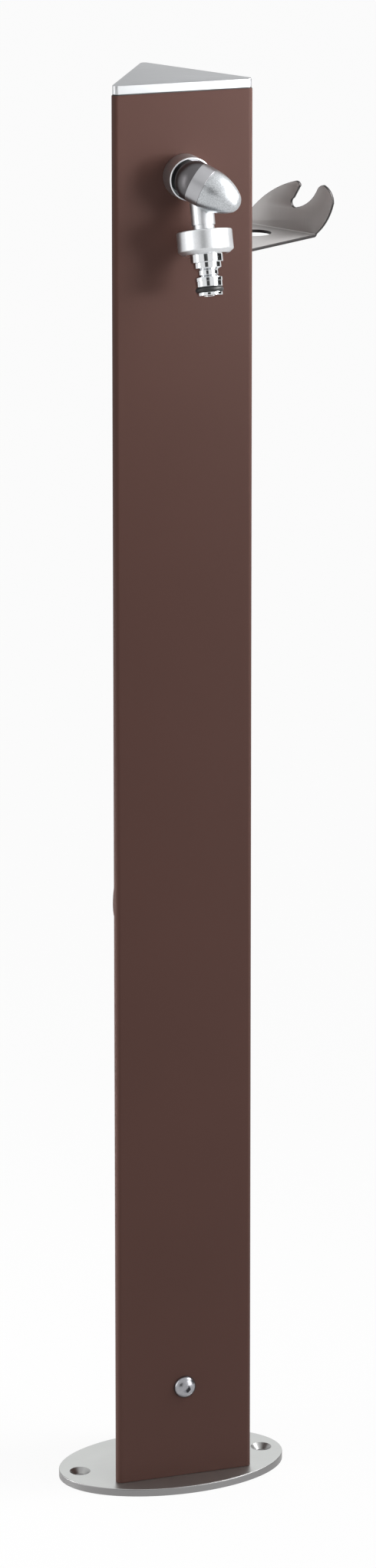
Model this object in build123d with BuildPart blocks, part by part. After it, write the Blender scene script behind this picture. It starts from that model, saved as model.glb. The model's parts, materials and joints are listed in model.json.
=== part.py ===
from build123d import *
import os
from math import atan2, cos, degrees, pi, radians, sin, sqrt

# Garden standpipe. The origin is on the floor under the middle of the foot, +Z is up,
# the front face of the post looks to -Y and the tap is on it. Millimetres.

# Post
total_height = 950.0
post_side = 99.6
post_corner = 3.5
post_wall = 2.0
post_inner_corner = 1.5
rear_angle = 30

# Foot
foot_length = 155.2
foot_width = 96.0
foot_thick = 5.0
foot_edge = 0.6
floor_hole_spacing = 128.6
floor_hole_dia = 7.2
floor_sink_dia = 14.0
floor_sink_angle = 90
pipe_opening_dia = 25.0

# Socket that the post slides over
socket_gap = 0.4
socket_wall = 3.0
socket_height = 78.0
socket_corner = 1.2
socket_inner_corner = 0.8

# Clamp screw and its nut
clamp_height = 67.6
clamp_dia = 8.0
clamp_hole_dia = 8.6
clamp_head_dia = 15.4
clamp_head_height = 4.8
clamp_key = 5.0
clamp_key_depth = 2.6
clamp_length = 16.0
clamp_nut_flats = 13.0
clamp_nut_height = 6.5

# Lid
cap_thick = 5.6
cap_edge = 0.5
cap_inset = 0.5
cap_rim_depth = 10.0
cap_rim_wall = 2.0
gasket_thick = 0.8
gasket_inset = 0.6

# Tap axis, sleeve and elbow
tap_drop = 60.4
ball_reach = 23.0
ball_dia = 26.7
neck_dia = 20.8
neck_stop = 6.75
neck_bore = 12.0
neck_hole_gap = 0.3
sleeve_dia = 28.6
sleeve_depth = 14.6
sleeve_wall = 1.0
sleeve_floor = 1.5
sleeve_edge = 0.3
sleeve_gasket_thick = 1.0
washer_dia = 30.0
washer_thick = 1.5
neck_nut_flats = 27.0
neck_nut_height = 6.0

# Valve body, cartridge, stem and handle, along the slanting axis through the ball
handle_turn_angle = 51.6
handle_dip_angle = 25.6
body_length = 8.8
body_floor = 1.8
body_port = 13.0
chamber_dia = 19.0
seam_gap = 0.3
cartridge_gap = 0.05
cartridge_end_gap = 0.2
stem_dia = 8.0
stem_start = 3.2
stem_grip = 12.0
stem_gap = 0.05
stem_end_gap = 0.5
handle_length = 23.3
handle_nose_radius = 8.5
handle_recess_dia = 18.0
handle_recess_depth = 1.0
grub_dia = 4.0
grub_height = 6.0
grub_key = 2.0
grub_key_depth = 1.6
grub_length = 6.5
grub_clearance = 0.05

# Outlet, its union and the click-on plug, along the leaning outlet axis
outlet_side = 5.5
outlet_reach = 13.9
outlet_tilt_angle = 16.5
outlet_start = 9.0
outlet_dia = 15.1
outlet_bore = 9.0
outlet_end = 33.4
outlet_neck_dia = 13.6
outlet_neck_length = 3.6
handle_clear = 0.4
cover_facets = 6
port_wall = 1.2
sleeve_clear = 0.4
port_start = 6.0
nut_dia = 35.6
nut_side = 12.7
nut_bevel_height = 2.5
nut_bevel_width = 3.2
nut_roof = 3.0
nut_neck_gap = 0.08
union_thread_dia = 26.4
union_thread_gap = 0.05
collar_dia = 23.0
collar_thick = 2.5
collar_gap = 0.1
seal_thick = 1.5
seal_bore = 14.0
plug_bore = 8.0
plug_shoulder_dia = 20.9
plug_shoulder_length = 5.2
plug_step_dia = 18.0
plug_step_length = 3.5
plug_cone_length = 1.6
plug_groove_dia = 13.2
plug_groove_length = 3.0
plug_flare_length = 1.5
plug_ring_dia = 17.8
plug_ring_length = 2.35
plug_collar_dia = 17.2
plug_collar_length = 3.65
plug_tip_dia = 16.4
plug_tip_length = 2.2
plug_tip_edge = 0.6
o_ring_dia = 18.0
o_ring_section = 3.4
o_ring_gap = 0.05

# Supply pipe inside the post
elbow_dia = 27.0
elbow_leg_dia = 24.0
elbow_leg_length = 32.0
elbow_nut_gap = 1.5
thread_gap = 0.05
riser_dia = 16.0
riser_bore = 12.0
riser_gap = 0.1
riser_socket = 12.0
riser_nut_flats = 30.0
riser_nut_grip = 10.0
riser_nut_floor = 4.0
inlet_dia = 24.0
inlet_height = 42.0
inlet_flange_dia = 34.0
inlet_flange_thick = 4.0
inlet_thread_dia = 18.6
inlet_thread_depth = 16.0
inlet_recess = 0.5

# Hose bracket on the right rear face
bracket_width = 72.8
bracket_reach = 76.0
bracket_sheet = 2.0
bracket_drop = 114.5
bracket_inner_bend = 0.6
bracket_flange = 28.0
bracket_ear_height = 33.4
bracket_hole_dia = 22.0
bracket_hole_side = -2.8
bracket_hole_reach = 52.0
bracket_screw_spacing = 40.0
bracket_screw_drop = 15.0
bracket_screw_dia = 5.0
bracket_screw_gap = 0.2
bracket_screw_head_dia = 9.5
bracket_screw_head_height = 2.75
bracket_screw_key = 3.0
bracket_screw_key_depth = 1.6
bracket_screw_length = 9.0
bracket_nut_flats = 8.0
bracket_nut_height = 4.0

# Plug in the left rear face
side_plug_height = 398.2
side_plug_dia = 34.0
side_plug_head = 6.8
side_plug_edge = 2.0
side_plug_shank_dia = 19.6
side_plug_hole_dia = 20.0
side_plug_shank = 12.0
side_plug_nut_flats = 25.0
side_plug_nut_height = 5.0

# One overrun serves every through cut
overrun = 1.0
quarter_turn = 90

# The ears of the bracket: shares of its width from the middle, and of the ear height.
ear_root_shares = (-0.5, 0.0)
ear_side_shares = (-0.618, 0.28)
ear_bulge_shares = (-0.697, 0.66)
ear_shoulder_shares = (-0.663, 0.886)
ear_top_shares = (-0.588, 1.0)
ear_inner_shares = (-0.546, 0.964)
ear_drop_shares = (-0.521, 0.904)
slot_curve_shares = (-0.427, 0.641)
slot_floor_shares = (-0.277, 0.479)
slot_round_shares = (-0.212, 0.548)
slot_side_shares = (-0.239, 0.650)
hook_low_shares = (-0.316, 0.922)
hook_nose_shares = (-0.295, 0.988)
hook_top_shares = (-0.254, 0.997)
ear_back_shares = (0.007, 0.749)
ear_slope_shares = (0.243, 0.344)
ear_end_shares = (0.5, 0.0)

# Places that follow from the sizes
front_y = -post_side / (2 * sqrt(3))
face_distance = -front_y
cap_base = total_height - cap_thick
post_top = cap_base - gasket_thick
tap_height = total_height - tap_drop
neck_inside = face_distance - neck_stop
bracket_level = total_height - bracket_drop

front_face = Plane(origin=(0, front_y, 0), x_dir=(1, 0, 0), z_dir=(0, -1, 0))
right_normal = Vector(cos(radians(rear_angle)), sin(radians(rear_angle)), 0)
right_along = Vector(-sin(radians(rear_angle)), cos(radians(rear_angle)), 0)
right_face = Plane(origin=right_normal * face_distance, x_dir=right_along, z_dir=right_normal)
left_normal = Vector(-cos(radians(rear_angle)), sin(radians(rear_angle)), 0)
left_along = Vector(-sin(radians(rear_angle)), -cos(radians(rear_angle)), 0)
left_face = Plane(origin=left_normal * face_distance, x_dir=left_along, z_dir=left_normal)

# The tap axis leaves the front face, the handle axis leaves the ball to the right, forwards
# and down, and the outlet axis leans forwards as it goes down.
tap_out = Vector(0, -1, 0)
sideways = Vector(1, 0, 0)
tap_root = Vector(0, front_y, tap_height)
ball_centre = tap_root + tap_out * ball_reach
handle_side = Vector(cos(radians(handle_turn_angle)), sin(radians(handle_turn_angle)), 0)
handle_out = Vector(
    sin(radians(handle_turn_angle)) * cos(radians(handle_dip_angle)),
    -cos(radians(handle_turn_angle)) * cos(radians(handle_dip_angle)),
    -sin(radians(handle_dip_angle)),
)
outlet_root = tap_root + sideways * outlet_side + tap_out * outlet_reach
outlet_out = Vector(0, -sin(radians(outlet_tilt_angle)), -cos(radians(outlet_tilt_angle)))

tap_axis = Axis(tap_root, tap_out)
handle_axis = Axis(ball_centre, handle_out)
outlet_axis = Axis(outlet_root, outlet_out)

# In each profile plane, X is the radius and Y runs along the axis.
tap_profile = Plane(origin=tap_root, x_dir=sideways, z_dir=sideways.cross(tap_out))
handle_profile = Plane(origin=ball_centre, x_dir=handle_side, z_dir=handle_side.cross(handle_out))
outlet_profile = Plane(origin=outlet_root, x_dir=sideways, z_dir=sideways.cross(outlet_out))
handle_plane = Plane(origin=ball_centre, x_dir=handle_side, z_dir=handle_out)
handle_start = body_length + seam_gap
nut_top = outlet_end
collar_top = nut_top + nut_roof + collar_gap
collar_bottom = collar_top + collar_thick


def triangle(inset, corner):
    """The post's rounded triangle, moved inwards by inset."""
    with BuildSketch(mode=Mode.PRIVATE) as face:
        RegularPolygon(radius=post_side / sqrt(3) - 2 * inset, side_count=3, rotation=90)
        fillet(face.vertices(), corner)
    return face.sketch


def turned(plane, axis, points):
    """A body of revolution: points are (radius, distance along the axis)."""
    with BuildPart(mode=Mode.PRIVATE) as body:
        with BuildSketch(plane):
            with BuildLine():
                Polyline(*points, close=True)
            make_face()
        revolve(axis=axis)
    return body.part


def rod(plane, axis, dia, start, end):
    """A plain round bar between two places on an axis."""
    return turned(plane, axis, [(0, start), (dia / 2, start), (dia / 2, end), (0, end)])


def dome_cover(gap):
    """A faceted cover over the handle that keeps at least the gap from it."""
    base = handle_start - gap
    wide = ball_dia / 2 + gap
    tall = handle_length + 2 * gap
    half_step = pi / 4 / cover_facets
    points = [(0, base), (wide, base)]
    for facet in range(cover_facets):
        turn = half_step * (2 * facet + 1)
        points.append(
            (wide * cos(turn) / cos(half_step), base + tall * sin(turn) / cos(half_step))
        )
    points.append((0, base + tall))
    return turned(handle_profile, handle_axis, points)


def ball_and_drum():
    """The outside of the ball and the valve body in one round-ended bar."""
    with BuildPart(mode=Mode.PRIVATE) as bar:
        with BuildSketch(handle_profile):
            with BuildLine():
                Line((0, -ball_dia / 2), (0, body_length))
                Line((0, body_length), (ball_dia / 2, body_length))
                Line((ball_dia / 2, body_length), (ball_dia / 2, 0))
                CenterArc((0, 0), ball_dia / 2, start_angle=-quarter_turn, arc_size=quarter_turn)
            make_face()
        revolve(axis=handle_axis)
    return bar.part


def hex_bar(plane, flats, height):
    """A hexagonal bar standing on a plane, given across its flats."""
    with BuildPart(mode=Mode.PRIVATE) as bar:
        with BuildSketch(plane):
            RegularPolygon(radius=flats / 2, side_count=6, major_radius=False)
        extrude(amount=height)
    return bar.part


def button_screw(plane, shank_dia, shank_length, head_dia, head_height, key, key_depth):
    """A button-head screw: the plane is under its head and faces outwards."""
    section_plane = Plane(
        origin=plane.origin, x_dir=plane.x_dir, z_dir=plane.x_dir.cross(plane.z_dir)
    )
    with BuildPart(mode=Mode.PRIVATE) as screw:
        with BuildSketch(section_plane):
            with BuildLine():
                Line((0, -shank_length), (shank_dia / 2, -shank_length))
                Line((shank_dia / 2, -shank_length), (shank_dia / 2, 0))
                Line((shank_dia / 2, 0), (head_dia / 2, 0))
                EllipticalCenterArc((0, 0), head_dia / 2, head_height, start_angle=0, arc_size=quarter_turn)
                Line((0, head_height), (0, -shank_length))
            make_face()
        revolve(axis=Axis(plane.origin, plane.z_dir))
        add(
            hex_bar(plane.offset(head_height - key_depth), key, key_depth + overrun),
            mode=Mode.SUBTRACT,
        )
    return screw.part


def save(part, name):
    """Label one piece and write it."""
    part.label = name
    export_step(part, "parts/" + name + ".step")


os.makedirs("parts", exist_ok=True)

# Post: a triangular tube with holes for the tap, the clamp screw, the bracket and the plug
with BuildPart() as post:
    with BuildSketch(Plane.XY.offset(foot_thick)):
        add(triangle(0, post_corner))
        add(triangle(post_wall, post_inner_corner), mode=Mode.SUBTRACT)
    extrude(amount=post_top - foot_thick)
    with BuildSketch(front_face):
        with Locations((0, tap_height)):
            Circle(neck_dia / 2 + neck_hole_gap)
        with Locations((0, clamp_height)):
            Circle(clamp_hole_dia / 2)
    extrude(amount=-post_wall - overrun, mode=Mode.SUBTRACT)
    with BuildSketch(right_face):
        with Locations((0, bracket_level - bracket_sheet - bracket_screw_drop)):
            with GridLocations(bracket_screw_spacing, 0, 2, 1):
                Circle(bracket_screw_dia / 2 + bracket_screw_gap)
    extrude(amount=-post_wall - overrun, mode=Mode.SUBTRACT)
    with BuildSketch(left_face):
        with Locations((0, side_plug_height)):
            Circle(side_plug_hole_dia / 2)
    extrude(amount=-post_wall - overrun, mode=Mode.SUBTRACT)
save(post.part, "post")

# Foot: an oval plate with two sunk floor holes and an opening for the supply
with BuildPart() as foot_plate:
    with BuildSketch():
        Ellipse(foot_length / 2, foot_width / 2)
    extrude(amount=foot_thick)
    fillet(foot_plate.edges().group_by(Axis.Z)[-1], foot_edge)
    with Locations(Plane.XY.offset(foot_thick)):
        with GridLocations(floor_hole_spacing, 0, 2, 1):
            CounterSinkHole(floor_hole_dia / 2, floor_sink_dia / 2, counter_sink_angle=floor_sink_angle)
        Hole(pipe_opening_dia / 2)
save(foot_plate.part, "foot_plate")

# Socket: a triangular ring welded to the foot, inside the post
with BuildPart() as foot_socket:
    with BuildSketch(Plane.XY.offset(foot_thick)):
        add(triangle(post_wall + socket_gap, socket_corner))
        add(triangle(post_wall + socket_gap + socket_wall, socket_inner_corner), mode=Mode.SUBTRACT)
    extrude(amount=socket_height)
    with BuildSketch(front_face):
        with Locations((0, clamp_height)):
            Circle(clamp_hole_dia / 2)
    extrude(amount=-post_wall - socket_gap - socket_wall - overrun, mode=Mode.SUBTRACT)
save(foot_socket.part, "foot_socket")

# Clamp screw and the nut behind the socket's wall
clamp_plane = Plane(
    origin=(0, front_y, clamp_height), x_dir=front_face.x_dir, z_dir=front_face.z_dir
)
with BuildPart() as clamp_screw:
    add(
        button_screw(
            clamp_plane,
            clamp_dia,
            clamp_length,
            clamp_head_dia,
            clamp_head_height,
            clamp_key,
            clamp_key_depth,
        )
    )
save(clamp_screw.part, "clamp_screw")

clamp_nut_face = post_wall + socket_gap + socket_wall
with BuildPart() as clamp_nut:
    add(hex_bar(clamp_plane.offset(-clamp_nut_face), clamp_nut_flats, -clamp_nut_height))
    with BuildSketch(clamp_plane.offset(-clamp_nut_face)):
        Circle(clamp_dia / 2 + thread_gap)
    extrude(amount=-clamp_nut_height, mode=Mode.SUBTRACT)
save(clamp_nut.part, "clamp_nut")

# Gasket and lid: the lid's rim drops inside the post
with BuildPart() as cap_gasket:
    with BuildSketch(Plane.XY.offset(post_top)):
        add(triangle(gasket_inset, post_corner - gasket_inset))
        add(triangle(post_wall, post_inner_corner), mode=Mode.SUBTRACT)
    extrude(amount=gasket_thick)
save(cap_gasket.part, "cap_gasket")

with BuildPart() as cap:
    with BuildSketch(Plane.XY.offset(cap_base)):
        add(triangle(cap_inset, post_corner - cap_inset))
    extrude(amount=cap_thick)
    fillet(cap.faces().sort_by(Axis.Z)[-1].edges(), cap_edge)
    with BuildSketch(Plane.XY.offset(cap_base)):
        add(triangle(post_wall + socket_gap, socket_corner))
        add(triangle(post_wall + socket_gap + cap_rim_wall, socket_inner_corner), mode=Mode.SUBTRACT)
    extrude(amount=-cap_rim_depth)
save(cap.part, "cap")

# Sleeve round the tap's root, with its gasket on the post
sleeve_inner = sleeve_dia / 2 - sleeve_wall
sleeve_hole = neck_dia / 2 + neck_hole_gap
with BuildPart() as tap_sleeve:
    with BuildSketch(tap_profile) as sleeve_section:
        with BuildLine():
            Polyline(
                (sleeve_hole, sleeve_gasket_thick),
                (sleeve_inner, sleeve_gasket_thick),
                (sleeve_inner, 0),
                (sleeve_dia / 2, 0),
                (sleeve_dia / 2, sleeve_depth),
                (sleeve_inner, sleeve_depth),
                (sleeve_inner, sleeve_gasket_thick + sleeve_floor),
                (sleeve_hole, sleeve_gasket_thick + sleeve_floor),
                close=True,
            )
        make_face()
    revolve(axis=tap_axis)
    fillet(tap_sleeve.edges().group_by(Axis.Y)[0], sleeve_edge)
save(tap_sleeve.part, "tap_sleeve")

with BuildPart() as sleeve_gasket:
    add(
        turned(
            tap_profile,
            tap_axis,
            [
                (sleeve_hole, 0),
                (sleeve_inner, 0),
                (sleeve_inner, sleeve_gasket_thick),
                (sleeve_hole, sleeve_gasket_thick),
            ],
        )
    )
save(sleeve_gasket.part, "sleeve_gasket")

# Ball elbow: the neck comes through the post's wall and ends in a ball, cut flat where
# the valve body sits on it
with BuildPart() as tap_elbow:
    with Locations(ball_centre):
        Sphere(ball_dia / 2)
    add(rod(tap_profile, tap_axis, neck_dia, -neck_inside, ball_reach))
    split(bisect_by=handle_plane, keep=Keep.BOTTOM)
    add(rod(tap_profile, tap_axis, neck_bore, -neck_inside - overrun, ball_reach), mode=Mode.SUBTRACT)
    add(
        rod(handle_profile, handle_axis, body_port, -neck_bore / 2, overrun),
        mode=Mode.SUBTRACT,
    )
save(tap_elbow.part, "tap_elbow")

# Washer and nut that hold the neck from inside the post
with BuildPart() as neck_washer:
    add(
        turned(
            tap_profile,
            tap_axis,
            [
                (sleeve_hole, -post_wall),
                (washer_dia / 2, -post_wall),
                (washer_dia / 2, -post_wall - washer_thick),
                (sleeve_hole, -post_wall - washer_thick),
            ],
        )
    )
save(neck_washer.part, "neck_washer")

neck_nut_plane = Plane(
    origin=tap_root - tap_out * (post_wall + washer_thick), x_dir=sideways, z_dir=-tap_out
)
with BuildPart() as neck_nut:
    add(hex_bar(neck_nut_plane, neck_nut_flats, neck_nut_height))
    with BuildSketch(neck_nut_plane):
        Circle(neck_dia / 2 + thread_gap)
    extrude(amount=neck_nut_height, mode=Mode.SUBTRACT)
save(neck_nut.part, "neck_nut")

# Valve body: the short drum between the ball and the handle, with a port for the outlet
outlet_port = rod(outlet_profile, outlet_axis, outlet_bore, port_start, collar_bottom + overrun)
handle_guard = dome_cover(handle_clear + port_wall)
with BuildPart(mode=Mode.PRIVATE) as port_builder:
    add(outlet_port)
    add(handle_guard, mode=Mode.SUBTRACT)
port_space = port_builder.part

with BuildPart() as valve_body:
    add(
        turned(
            handle_profile,
            handle_axis,
            [
                (body_port / 2, 0),
                (ball_dia / 2, 0),
                (ball_dia / 2, body_length),
                (chamber_dia / 2, body_length),
                (chamber_dia / 2, body_floor),
                (body_port / 2, body_floor),
            ],
        )
    )
    add(port_space, mode=Mode.SUBTRACT)
save(valve_body.part, "valve_body")

# Cartridge: fills the chamber and carries the stem
cartridge_dia = chamber_dia - 2 * cartridge_gap
with BuildPart() as valve_cartridge:
    add(
        turned(
            handle_profile,
            handle_axis,
            [
                (stem_dia / 2 + stem_gap, body_floor),
                (cartridge_dia / 2, body_floor),
                (cartridge_dia / 2, body_length - cartridge_end_gap),
                (stem_dia / 2 + stem_gap, body_length - cartridge_end_gap),
            ],
        )
    )
    add(port_space, mode=Mode.SUBTRACT)
save(valve_cartridge.part, "valve_cartridge")

# Stem: turns in the cartridge and is gripped by the handle
stem_end = handle_start + stem_grip
with BuildPart() as valve_stem:
    add(rod(handle_profile, handle_axis, stem_dia, stem_start, stem_end))
save(valve_stem.part, "valve_stem")

# Handle: half an egg, recessed and bored for the stem, with a side hole for its set screw.
# Its side is a long arc that leaves the base square and runs smoothly into the round nose.
nose_rise = handle_length - handle_nose_radius
nose_centre = handle_start + nose_rise
handle_side_radius = (
    ((ball_dia / 2) ** 2 + nose_rise**2 - handle_nose_radius**2)
    / (ball_dia - 2 * handle_nose_radius)
)
handle_blend_angle = degrees(atan2(nose_rise, handle_side_radius - ball_dia / 2))
grub_plane = Plane(
    origin=ball_centre + handle_out * (handle_start + grub_height),
    x_dir=handle_out,
    z_dir=handle_side,
)
recess_top = handle_start + handle_recess_depth
bore_top = stem_end + stem_end_gap
with BuildPart() as tap_handle:
    with BuildSketch(handle_profile):
        with BuildLine():
            Polyline(
                (0, handle_start + handle_length),
                (0, bore_top),
                (stem_dia / 2, bore_top),
                (stem_dia / 2, recess_top),
                (handle_recess_dia / 2, recess_top),
                (handle_recess_dia / 2, handle_start),
                (ball_dia / 2, handle_start),
            )
            CenterArc(
                (ball_dia / 2 - handle_side_radius, handle_start),
                handle_side_radius,
                start_angle=0,
                arc_size=handle_blend_angle,
            )
            CenterArc(
                (0, nose_centre),
                handle_nose_radius,
                start_angle=handle_blend_angle,
                arc_size=quarter_turn - handle_blend_angle,
            )
        make_face()
    revolve(axis=handle_axis)
    with BuildSketch(grub_plane):
        Circle(grub_dia / 2 + grub_clearance)
    extrude(amount=ball_dia, mode=Mode.SUBTRACT)
save(tap_handle.part, "tap_handle")

grub_top = stem_dia / 2 + grub_clearance + grub_length
with BuildPart() as handle_screw:
    with BuildSketch(grub_plane.offset(stem_dia / 2 + grub_clearance)):
        Circle(grub_dia / 2)
    extrude(amount=grub_length)
    add(
        hex_bar(grub_plane.offset(grub_top - grub_key_depth), grub_key, grub_key_depth + overrun),
        mode=Mode.SUBTRACT,
    )
save(handle_screw.part, "handle_screw")

# Outlet pipe: its top is cut to the ball and the valve body and clears the handle and sleeve
with BuildPart() as outlet_pipe:
    add(
        turned(
            outlet_profile,
            outlet_axis,
            [
                (0, outlet_start),
                (outlet_dia / 2, outlet_start),
                (outlet_dia / 2, outlet_end - outlet_neck_length),
                (outlet_neck_dia / 2, outlet_end - outlet_neck_length),
                (outlet_neck_dia / 2, collar_top),
                (collar_dia / 2, collar_top),
                (collar_dia / 2, collar_bottom),
                (0, collar_bottom),
            ],
        )
    )
    add(ball_and_drum(), mode=Mode.SUBTRACT)
    add(dome_cover(handle_clear), mode=Mode.SUBTRACT)
    add(
        rod(tap_profile, tap_axis, sleeve_dia + 2 * sleeve_clear, 0, sleeve_depth + sleeve_clear),
        mode=Mode.SUBTRACT,
    )
    add(port_space, mode=Mode.SUBTRACT)
save(outlet_pipe.part, "outlet_pipe")

# Union nut: hangs on the pipe's collar and draws the plug up against the seal
nut_bottom = nut_top + nut_side + nut_bevel_height
with BuildPart() as union_nut:
    add(
        turned(
            outlet_profile,
            outlet_axis,
            [
                (outlet_neck_dia / 2 + nut_neck_gap, nut_top),
                (nut_dia / 2, nut_top),
                (nut_dia / 2, nut_top + nut_side),
                (nut_dia / 2 - nut_bevel_width, nut_bottom),
                (union_thread_dia / 2 + union_thread_gap, nut_bottom),
                (union_thread_dia / 2 + union_thread_gap, nut_top + nut_roof),
                (outlet_neck_dia / 2 + nut_neck_gap, nut_top + nut_roof),
            ],
        )
    )
save(union_nut.part, "union_nut")

plug_top = collar_bottom + seal_thick
with BuildPart() as union_seal:
    add(
        turned(
            outlet_profile,
            outlet_axis,
            [
                (seal_bore / 2, collar_bottom),
                (collar_dia / 2, collar_bottom),
                (collar_dia / 2, plug_top),
                (seal_bore / 2, plug_top),
            ],
        )
    )
save(union_seal.part, "union_seal")

# Hose plug: threaded head in the nut, then the stepped outside that a click-on hose end grips
shoulder_end = nut_bottom + plug_shoulder_length
step_end = shoulder_end + plug_step_length
groove_start = step_end + plug_cone_length
groove_end = groove_start + plug_groove_length
ring_start = groove_end + plug_flare_length
ring_end = ring_start + plug_ring_length
plug_collar_end = ring_end + plug_collar_length
seat_end = plug_collar_end + o_ring_section + 2 * o_ring_gap
plug_end = seat_end + plug_tip_length
seat_radius = o_ring_dia / 2 - o_ring_section - o_ring_gap
with BuildPart() as hose_plug:
    add(
        turned(
            outlet_profile,
            outlet_axis,
            [
                (plug_bore / 2, plug_top),
                (union_thread_dia / 2, plug_top),
                (union_thread_dia / 2, nut_bottom),
                (plug_shoulder_dia / 2, nut_bottom),
                (plug_shoulder_dia / 2, shoulder_end),
                (plug_step_dia / 2, shoulder_end),
                (plug_step_dia / 2, step_end),
                (plug_groove_dia / 2, groove_start),
                (plug_groove_dia / 2, groove_end),
                (plug_ring_dia / 2, ring_start),
                (plug_ring_dia / 2, ring_end),
                (plug_collar_dia / 2, ring_end),
                (plug_collar_dia / 2, plug_collar_end),
                (seat_radius, plug_collar_end),
                (seat_radius, seat_end),
                (plug_tip_dia / 2, seat_end),
                (plug_tip_dia / 2, plug_end - plug_tip_edge),
                (plug_tip_dia / 2 - plug_tip_edge, plug_end),
                (plug_bore / 2, plug_end),
            ],
        )
    )
save(hose_plug.part, "hose_plug")

with BuildPart() as plug_o_ring:
    with BuildSketch(outlet_profile):
        with Locations((o_ring_dia / 2 - o_ring_section / 2, (plug_collar_end + seat_end) / 2)):
            Circle(o_ring_section / 2)
    revolve(axis=outlet_axis)
save(plug_o_ring.part, "plug_o_ring")

# Wall elbow: screwed on the neck inside the post, its leg points down at the post's middle
elbow_mouth = front_y + post_wall + washer_thick + neck_nut_height + elbow_nut_gap
elbow_bottom = tap_height - elbow_leg_length
elbow_leg_plane = Plane.XY.offset(elbow_bottom)
with BuildPart() as wall_elbow:
    with Locations((0, 0, tap_height)):
        Sphere(elbow_dia / 2)
    with BuildSketch(Plane.XZ.offset(-elbow_mouth)):
        with Locations((0, tap_height)):
            Circle(elbow_dia / 2)
    extrude(amount=elbow_mouth)
    with BuildSketch(elbow_leg_plane):
        Circle(elbow_leg_dia / 2)
    extrude(amount=elbow_leg_length)
    with BuildSketch(front_face):
        with Locations((0, tap_height)):
            Circle(neck_dia / 2 + thread_gap)
    extrude(amount=-neck_inside, mode=Mode.SUBTRACT)
    with BuildSketch(Plane.XZ):
        with Locations((0, tap_height)):
            Circle(neck_bore / 2)
    extrude(amount=-elbow_mouth, mode=Mode.SUBTRACT)
    with BuildSketch(elbow_leg_plane):
        Circle(riser_bore / 2)
    extrude(amount=elbow_leg_length, mode=Mode.SUBTRACT)
    with BuildSketch(elbow_leg_plane):
        Circle(riser_dia / 2 + riser_gap)
    extrude(amount=riser_socket, mode=Mode.SUBTRACT)
save(wall_elbow.part, "wall_elbow")

# Inlet fitting: stands on the foot, threaded from below, takes the supply pipe on top
with BuildPart() as inlet_fitting:
    with BuildSketch(Plane.XY.offset(inlet_recess)):
        Circle(inlet_dia / 2)
    extrude(amount=inlet_height - inlet_recess)
    with BuildSketch(Plane.XY.offset(foot_thick)):
        Circle(inlet_flange_dia / 2)
    extrude(amount=inlet_flange_thick)
    with BuildSketch(Plane.XY.offset(inlet_recess)):
        Circle(inlet_thread_dia / 2)
    extrude(amount=inlet_thread_depth, mode=Mode.SUBTRACT)
    with BuildSketch(Plane.XY.offset(inlet_recess)):
        Circle(riser_bore / 2)
    extrude(amount=inlet_height, mode=Mode.SUBTRACT)
    with BuildSketch(Plane.XY.offset(inlet_height)):
        Circle(riser_dia / 2 + riser_gap)
    extrude(amount=-riser_socket, mode=Mode.SUBTRACT)
save(inlet_fitting.part, "inlet_fitting")

# Supply pipe between the inlet fitting and the wall elbow
with BuildPart() as riser_pipe:
    with BuildSketch(Plane.XY.offset(inlet_height - riser_socket)):
        Circle(riser_dia / 2)
        Circle(riser_bore / 2, mode=Mode.SUBTRACT)
    extrude(amount=elbow_bottom + riser_socket - inlet_height + riser_socket)
save(riser_pipe.part, "riser_pipe")

# Union nuts of the supply pipe, one round the elbow's leg and one round the inlet fitting
top_nut_plane = Plane.XY.offset(elbow_bottom - riser_nut_floor)
with BuildPart() as riser_top_nut:
    add(hex_bar(top_nut_plane, riser_nut_flats, riser_nut_floor + riser_nut_grip))
    with BuildSketch(top_nut_plane.offset(riser_nut_floor)):
        Circle(elbow_leg_dia / 2 + thread_gap)
    extrude(amount=riser_nut_grip, mode=Mode.SUBTRACT)
    with BuildSketch(top_nut_plane):
        Circle(riser_dia / 2 + riser_gap)
    extrude(amount=riser_nut_floor, mode=Mode.SUBTRACT)
save(riser_top_nut.part, "riser_top_nut")

foot_nut_plane = Plane.XY.offset(inlet_height - riser_nut_grip)
with BuildPart() as riser_foot_nut:
    add(hex_bar(foot_nut_plane, riser_nut_flats, riser_nut_floor + riser_nut_grip))
    with BuildSketch(foot_nut_plane):
        Circle(inlet_dia / 2 + thread_gap)
    extrude(amount=riser_nut_grip, mode=Mode.SUBTRACT)
    with BuildSketch(foot_nut_plane.offset(riser_nut_grip)):
        Circle(riser_dia / 2 + riser_gap)
    extrude(amount=riser_nut_floor, mode=Mode.SUBTRACT)
save(riser_foot_nut.part, "riser_foot_nut")


def ear(shares):
    """A place on the upright sheet: along the face, and height."""
    return (shares[0] * bracket_width, bracket_level + shares[1] * bracket_ear_height)


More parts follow.
